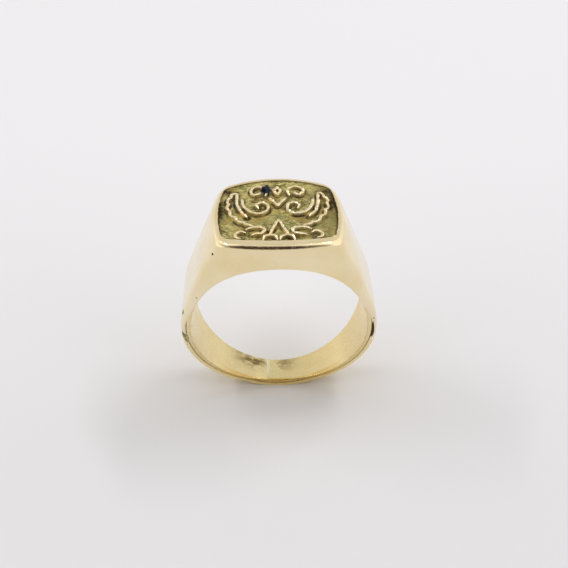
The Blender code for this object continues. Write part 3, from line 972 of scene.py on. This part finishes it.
LEAF_LINE = [(4.15, 4.05), (4.9, 2.9), (5.0, 1.4), (4.55, -0.2), (3.65, -1.5), (2.5, -2.15)]
LEAF = lobed(smooth_path(LEAF_LINE, 12), 6, 0.22)
VEIN = smooth_path([(4.2, 3.95), (4.2, 2.7), (4.15, 1.6), (3.75, 0.3), (3.1, -0.6)])
SCROLL = smooth_path([(3.7, 2.9), (3.55, 1.5), (2.95, 0.3), (1.9, -0.25), (1.1, 0.25), (1.05, 1.2),
                      (1.6, 1.75), (2.2, 1.4), (2.0, 0.85)])
VOLUTE = smooth_path([(1.25, 3.2), (1.05, 4.1), (1.65, 4.75), (2.5, 4.6), (2.75, 3.85), (2.3, 3.3),
                      (1.8, 3.55), (1.95, 3.95)])
TENDRIL = smooth_path([(3.3, -2.75), (2.5, -2.65), (1.7, -2.75), (1.35, -3.25), (1.75, -3.75), (2.75, -3.8)])
CURL = smooth_path([(3.2, -3.35), (3.83, -3.2), (4.3, -3.6), (4.22, -4.17), (3.72, -4.22)])
CHEVRON = np.array([(-0.95, 2.85), (-0.55, 2.0), (0.0, 1.1), (0.55, 2.0), (0.95, 2.85)])
PEAK_SIDE = [(-1.0, -4.1), (-0.55, -2.9), (-0.2, -1.9)]
PEAK = np.array([*PEAK_SIDE, (0.0, -1.5), *((-x, y) for x, y in PEAK_SIDE[::-1])])
LOZENGE = np.array([(-0.4, 3.9), (0.0, 3.15), (0.4, 3.9), (0.0, 4.65), (-0.4, 3.9)])
ARCHES = [half_ring(x, -4.75, 0.7) for x in (-0.85, 0.85)]
STRIPS = {"centre_chevron": [CHEVRON], "centre_peak": [PEAK, *ARCHES], "centre_lozenge": [LOZENGE]}
for side, word in ((-1.0, "left"), (1.0, "right")):
    turned = np.array([side, 1.0])
    STRIPS[f"leaf_{word}"] = [LEAF * turned, VEIN * turned]
    for shape, path in (("scroll", SCROLL), ("volute", VOLUTE), ("tendril", TENDRIL), ("curl", CURL)):
        STRIPS[f"{shape}_{word}"] = [path * turned]
point_count = sum(len(path) for paths in STRIPS.values() for path in paths)
print(f"{len(STRIPS)} scroll pieces, {point_count} path points")

# %% [markdown]
# ## Raising the scrolls
# A strip follows its path with a tall narrow section that stands half in the ground. Its width
# wavers as a graver leaves it.
# That is a job for Geometry Nodes: the path's curve is resampled, its radius varied by seeded noise,
# and a profile swept along it.


# %% The strip tree
WAVER_LENGTH = 0.38
DRIFT_LENGTH = 0.8
DRIFT = 0.22
TIP_LENGTH = 0.45
STRIP_EDGE = 0.035


def input_socket(tree, name, kind, default):
    socket = tree.interface.new_socket(name, in_out="INPUT", socket_type=kind)
    if default is not None:
        socket.default_value = default
    return socket.identifier


def strip_tree():
    tree = bpy.data.node_groups.new("raised_strip", "GeometryNodeTree")
    ids = {"geometry": input_socket(tree, "Path", "NodeSocketGeometry", None),
           "width": input_socket(tree, "Strip Width", "NodeSocketFloat", 0.28 * MM),
           "height": input_socket(tree, "Strip Height", "NodeSocketFloat", 0.4 * MM),
           "step": input_socket(tree, "Step", "NodeSocketFloat", 0.05 * MM),
           "waver": input_socket(tree, "Waver", "NodeSocketFloat", 1.1),
           "ends": input_socket(tree, "End Width", "NodeSocketFloat", 0.4),
           "seed": input_socket(tree, "Seed", "NodeSocketFloat", 1.0),
           "finish": input_socket(tree, "Finish", "NodeSocketMaterial", None)}
    tree.interface.new_socket("Geometry", in_out="OUTPUT", socket_type="NodeSocketGeometry")
    nodes, links = tree.nodes, tree.links
    group_in = nodes.new("NodeGroupInput")
    group_out = nodes.new("NodeGroupOutput")

    def add(kind, inputs=(), **settings):
        made = nodes.new(kind)
        for key, value in settings.items():
            setattr(made, key, value)
        for key, value in inputs:
            if isinstance(value, bpy.types.NodeSocket):
                links.new(value, made.inputs[key])
            else:
                made.inputs[key].default_value = value
        return made

    def sums(operation, first, second):
        return add("ShaderNodeMath", [(0, first), (1, second)], operation=operation).outputs[0]

    def slow_noise(length, detail):
        return add("ShaderNodeTexNoise", [("Scale", 1.0 / (length * MM)), ("W", group_in.outputs["Seed"]),
                                          ("Detail", detail)], noise_dimensions="4D")

    even = add("GeometryNodeResampleCurve", [("Curve", group_in.outputs["Path"]),
                                             ("Length", group_in.outputs["Step"])], mode="LENGTH")
    off = sums("SUBTRACT", slow_noise(WAVER_LENGTH, 3.0).outputs[0], 0.5)
    full = sums("ADD", sums("MULTIPLY", off, group_in.outputs["Waver"]), 1.0)
    along = add("GeometryNodeSplineParameter").outputs["Length"]
    left = sums("SUBTRACT", add("GeometryNodeSplineLength").outputs[0], along)
    tip = add("ShaderNodeMapRange", [("Value", sums("MINIMUM", along, left)),
                                     ("From Max", TIP_LENGTH * MM),
                                     ("To Min", group_in.outputs["End Width"])])
    radius = sums("MULTIPLY", full, tip.outputs[0])
    drift = slow_noise(DRIFT_LENGTH, 2.0)
    centred = add("ShaderNodeVectorMath", [(0, drift.outputs["Color"]), (1, (0.5, 0.5, 0.5))],
                  operation="SUBTRACT")
    sideways = add("ShaderNodeVectorMath", [(0, centred.outputs[0]), (1, (DRIFT * MM, DRIFT * MM, 0.0))],
                   operation="MULTIPLY")
    moved = add("GeometryNodeSetPosition", [("Geometry", even.outputs[0]), ("Offset", sideways.outputs[0])])
    level = add("GeometryNodeSetCurveNormal", [("Curve", moved.outputs[0])], mode="Z_UP")
    sized = add("GeometryNodeSetCurveRadius", [("Curve", level.outputs[0]), ("Radius", radius)])
    box = add("GeometryNodeCurvePrimitiveQuadrilateral", [("Width", group_in.outputs["Strip Width"]),
                                                          ("Height", group_in.outputs["Strip Height"])])
    soft = add("GeometryNodeFilletCurve", [("Curve", box.outputs[0]), ("Count", 2),
                                           ("Radius", STRIP_EDGE * MM)], mode="POLY")
    swept = add("GeometryNodeCurveToMesh", [("Curve", sized.outputs[0]),
                                            ("Profile Curve", soft.outputs[0]), ("Fill Caps", True)])
    if "Scale" in swept.inputs:
        links.new(radius, swept.inputs["Scale"])
    real = add("GeometryNodeRealizeInstances", [("Geometry", swept.outputs[0])])
    done = add("GeometryNodeSetMaterial", [("Geometry", real.outputs[0]),
                                           ("Material", group_in.outputs["Finish"])])
    links.new(done.outputs[0], group_out.inputs[0])
    return tree, ids


STRIP_HALF = 0.145
STRIP_FOOT = RECESS_DEPTH + 0.30
STRIP_TOP = 0.08
strip_group, strip_ids = strip_tree()


def path_curve(name, paths):
    """The paths as poly splines at the middle of the strip's height, following the dome."""
    curve = bpy.data.curves.new(name, "CURVE")
    curve.dimensions = "3D"
    for path in paths:
        spline = curve.splines.new("POLY")
        closed = np.allclose(path[0], path[-1])
        count = len(path) - 1 if closed else len(path)
        spline.points.add(count - 1)
        spline.use_cyclic_u = bool(closed)
        for point, (x, y) in zip(spline.points, path[:count]):
            z = FACE_TOP - float(bow_drop(FACE_DOME, x)) - (STRIP_FOOT + STRIP_TOP) / 2.0
            point.co = (x * MM, y * MM, (z + HOLE_HEIGHT) * MM, 1.0)
    return linked(name, curve)


def raise_strip(node, paths, seed):
    source = path_curve(f"{node}_path", paths)
    modifier = source.modifiers.new("raise", "NODES")
    modifier.node_group = strip_group
    modifier[strip_ids["width"]] = 2.0 * STRIP_HALF * MM
    modifier[strip_ids["height"]] = (STRIP_FOOT - STRIP_TOP) * MM
    modifier[strip_ids["seed"]] = float(seed)
    modifier[strip_ids["ends"]] = 1.0 if node == "centre_lozenge" else 0.4
    modifier[strip_ids["finish"]] = engraved
    graph = bpy.context.evaluated_depsgraph_get()
    mesh = bpy.data.meshes.new_from_object(source.evaluated_get(graph))
    mesh.name = f"{node}_raised"
    obj = linked(f"{node}_raised", mesh)
    bpy.data.objects.remove(source)
    if not mesh.materials:
        mesh.materials.append(engraved)
    smooth_shade(obj, 40.0)
    settle(obj, "rose_tinted_gold", node)
    return obj


for seed, (node, paths) in enumerate(STRIPS.items()):
    raise_strip(node, paths, seed)

# %% [markdown]
# ## The sunk ground
# The ground is a fine grid, so that its hollows are real: it dips beside every scroll, where the graver dug
# deepest, and at the foot of the rim. The same distances, and a few darker places in the corners and along
# the edges, are stored as an attribute that the finish darkens as tarnish and as painted shade.

# %% Dig the ground
GROUND_RINGS = 84
GROUND_TUCK = 0.06  # the ground runs this far under the rim
GROUND_FOOT = 0.85
BACK_START = 1.0
BACK_RISE = 3.0
DUG_AT = 0.22  # distance from a scroll's middle line
DUG_WIDTH = 0.16
FOOT_REACH = 0.22
RECESS_LIFT = 0.28  # how much shallower the ground is along the back
LIFT_REACH = 0.9
DIG_DEPTH = 0.05
GRAVER_DEPTH = 0.018
DARKENED_PLACES = ((-5.2, 4.3, 0.7, 0.6), (5.7, 2.6, 0.45, 1.7), (5.0, 4.3, 0.5, 0.5), (-5.8, 1.0, 0.3, 2.0))
STAINS = ((2.8, -1.15, 4.25, 0.50, 0.80), (1.6, -4.35, 2.3, 0.42, 0.90),
          (0.7, 3.6, -3.9, 0.8, 0.6), (0.4, 0.0, -0.7, 1.4, 0.35))  # strength, place and reach


def distance_to_strips(points):
    best = np.full(len(points), 9.0)
    for paths in STRIPS.values():
        for path in paths:
            for a, b in zip(path[:-1], path[1:]):
                way = b - a
                share = np.clip(((points - a) @ way) / max(float(way @ way), 1e-9), 0.0, 1.0)
                best = np.minimum(best, np.linalg.norm(points - a - share[:, None] * way, axis=1))
    return best


# Rings of the recess outline shrink to the middle, so that the border is exact.
recess = recess_outline(-GROUND_TUCK, PLAN_STEPS)
ring_shares = 1.0 - np.linspace(0.0, 1.0, GROUND_RINGS, endpoint=False)
plan = np.array([recess * share for share in ring_shares])
flat = plan.reshape(-1, 2)
lines = distance_to_strips(flat)
edge = np.repeat(ring_shares, plan.shape[1])
to_rim = (1.0 - edge) * np.linalg.norm(np.tile(recess, (len(plan), 1)), axis=1)
beside = np.exp(-np.square((lines - DUG_AT) / DUG_WIDTH))
foot = np.exp(-np.square(to_rim / FOOT_REACH))
spots = np.column_stack([flat, np.zeros(len(flat))])
rough_dig = wander(spots, 0.9, 31) * 0.5 + wander(spots * [0.25, 1.0, 1.0], 0.22, 32) * 0.5
far = np.clip((flat[:, 1] - BACK_START) / BACK_RISE, 0.0, 1.0)
hollow = beside * (0.60 + 0.45 * wander(spots, 1.6, 33)) + foot * (0.8 - 0.6 * far)
shallow = np.exp(-np.square(to_rim / LIFT_REACH)) * far
depth = RECESS_DEPTH + DIG_DEPTH * hollow + GRAVER_DEPTH * rough_dig - RECESS_LIFT * shallow
height = FACE_TOP - bow_drop(FACE_DOME, flat[:, 0]) - depth


def blot(x, y, reach_x, reach_y):
    """1 in the middle of a soft oval, 0 well outside it."""
    return np.exp(-np.square((flat[:, 0] - x) / reach_x) - np.square((flat[:, 1] - y) / reach_y))


# Darker places in the corners and along the side edges, added to the darkening.
for darkened_place in DARKENED_PLACES:
    hollow = hollow + 0.9 * blot(*darkened_place)
hollow = np.clip(hollow, 0.0, 1.0)
ragged_edge = 1.0 + 0.5 * wander(spots, 0.5, 34)
stain = sum(strength * blot(*place) for strength, *place in STAINS)
stain = np.clip(stain * ragged_edge - 0.25, 0.0, 1.0)


def ground_object():
    rings, columns = plan.shape[:2]
    top = np.column_stack([flat, height])
    middle = np.array([[0.0, 0.0, FACE_TOP - RECESS_DEPTH]])
    low = np.column_stack([recess, FACE_TOP - bow_drop(FACE_DOME, recess[:, 0]) - GROUND_FOOT])
    points = np.concatenate([top, middle, low])
    faces = grid_faces(rings, columns, False, True)
    centre = rings * columns
    last = (rings - 1) * columns
    faces += [(last + k, last + (k + 1) % columns, centre) for k in range(columns)]
    base = centre + 1
    faces += [(base + k, base + (k + 1) % columns, (k + 1) % columns, k) for k in range(columns)]
    faces.append(tuple(base + k for k in range(columns))[::-1])
    obj = as_object("sunk_ground", points, faces, ground)
    store(obj, "hollow", hollow)
    store(obj, "stain", stain)
    return obj


plate = ground_object()
smooth_shade(plate, 50.0)
settle(plate, "aged_green_gold", "signet_plate")

# %% [markdown]
# ## Floor, light and camera
# A pale table under a white tent, with two long lamps high at the sides and a little behind, gives
# gold its wide clean reflections. The room in front stays darker, and its reflection helps to draw
# the line under the rim.

# %% Floor
FLOOR_HALF = 2.0


def pale_floor():
    f = Finish("pale_floor")
    # Darker towards the front of the table: painted shade from the dark room in front.
    near = f.y.ramp(60.0, -30.0)
    colour = f.mix(near, (0.808, 0.798, 0.816), (0.738, 0.732, 0.746))
    return f.finish(colour, 0.9, None, 0.0)


floor_mesh = bpy.data.meshes.new("floor")
corners = ((-1.0, -1.0), (1.0, -1.0), (1.0, 1.0), (-1.0, 1.0))
floor_points = [(x * FLOOR_HALF, y * FLOOR_HALF, 0.0) for x, y in corners]
floor_mesh.from_pydata(floor_points, [], [(0, 1, 2, 3)])
floor_mesh.materials.append(pale_floor())
floor = linked("floor", floor_mesh)


# %% Light
def soft_lamp(name, place, size, power):
    """A rectangular lamp aimed at the ring; size is (level, along its tilt)."""
    light = bpy.data.lights.new(name, "AREA")
    light.shape = "RECTANGLE"
    light.size, light.size_y = size
    light.energy = power
    lamp = linked(name, light)
    lamp.location = place
    lamp.rotation_euler = (Vector((0.0, 0.0, 0.01)) - Vector(place)).to_track_quat("-Z", "Y").to_euler()


TENT = (1.10, 1.10, 1.11)
TENT_BACK = (0.73, 0.715, 0.68)
ROOM = (0.085, 0.052, 0.028)
ROOM_ELEVATION = 30.0
ROOM_REACH = 34.0
BACK_ELEVATION = 30.0
BACK_REACH = 42.0
LAMP_SIZE = (0.34, 0.035)


def sky_patch(nodes, links, place, side, elevation, reach, soft):
    """1 within this many degrees of a direction to the front (-1) or the back (+1)."""
    toward = nodes.new("ShaderNodeVectorMath")
    toward.operation = "DOT_PRODUCT"
    lift = math.radians(elevation)
    toward.inputs[1].default_value = (0.0, side * math.cos(lift), math.sin(lift))
    links.new(place, toward.inputs[0])
    patch = nodes.new("ShaderNodeMapRange")
    patch.interpolation_type = "SMOOTHSTEP"
    patch.inputs["From Min"].default_value = math.cos(math.radians(reach + soft))
    patch.inputs["From Max"].default_value = math.cos(math.radians(reach - soft))
    links.new(toward.outputs["Value"], patch.inputs["Value"])
    return patch.outputs[0]


def tent_world():
    """White all round, duller behind, with the dark room behind the viewer as a soft round patch."""
    world = bpy.data.worlds.new("tent")
    bpy.context.scene.world = world
    world.use_nodes = True
    nodes, links = world.node_tree.nodes, world.node_tree.links
    place = nodes.new("ShaderNodeTexCoord").outputs["Generated"]
    patches = ((sky_patch(nodes, links, place, 1.0, BACK_ELEVATION, BACK_REACH, 16.0), TENT_BACK),
               (sky_patch(nodes, links, place, -1.0, ROOM_ELEVATION, ROOM_REACH, 8.0), ROOM))
    colour = None
    for patch, shade in patches:
        mix = nodes.new("ShaderNodeMix")
        mix.data_type = "RGBA"
        mix.inputs[6].default_value = (*TENT, 1.0)
        mix.inputs[7].default_value = (*shade, 1.0)
        links.new(patch, mix.inputs[0])
        if colour is not None:
            links.new(colour, mix.inputs[6])
        colour = mix.outputs[2]
    links.new(colour, nodes["Background"].inputs["Color"])


tent_world()
soft_lamp("lamp_left", (-0.54, 0.20, 0.60), LAMP_SIZE, 0.80)
soft_lamp("lamp_right", (0.34, 0.20, 0.60), LAMP_SIZE, 0.90)

# %% Camera
VIEW_ELEVATION = 38.0
VIEW_DISTANCE = 100.0
VIEW_TURN = -1.5
VIEW_SPAN = 931.0 / 568.0  # focal length in frame widths
AIM = Vector((0.61, 0.0, 3.14))

camera = linked("camera", bpy.data.cameras.new("camera"))
camera.data.sensor_width = 36.0
camera.data.lens = VIEW_SPAN * camera.data.sensor_width
camera.data.clip_start = 0.005
camera.data.clip_end = 20.0
tilt = math.radians(VIEW_ELEVATION)
stand = AIM + VIEW_DISTANCE * Vector((0.0, -math.cos(tilt), math.sin(tilt)))
camera.matrix_world = (Matrix.Translation((0.0, 0.0, HOLE_HEIGHT * MM))
                       @ Matrix.Rotation(math.radians(VIEW_TURN), 4, "Z")
                       @ Matrix.Translation(stand * MM)
                       @ Matrix.Rotation(math.pi / 2.0 - tilt, 4, "X"))
bpy.context.scene.camera = camera
bpy.context.scene.view_settings.view_transform = "Standard"
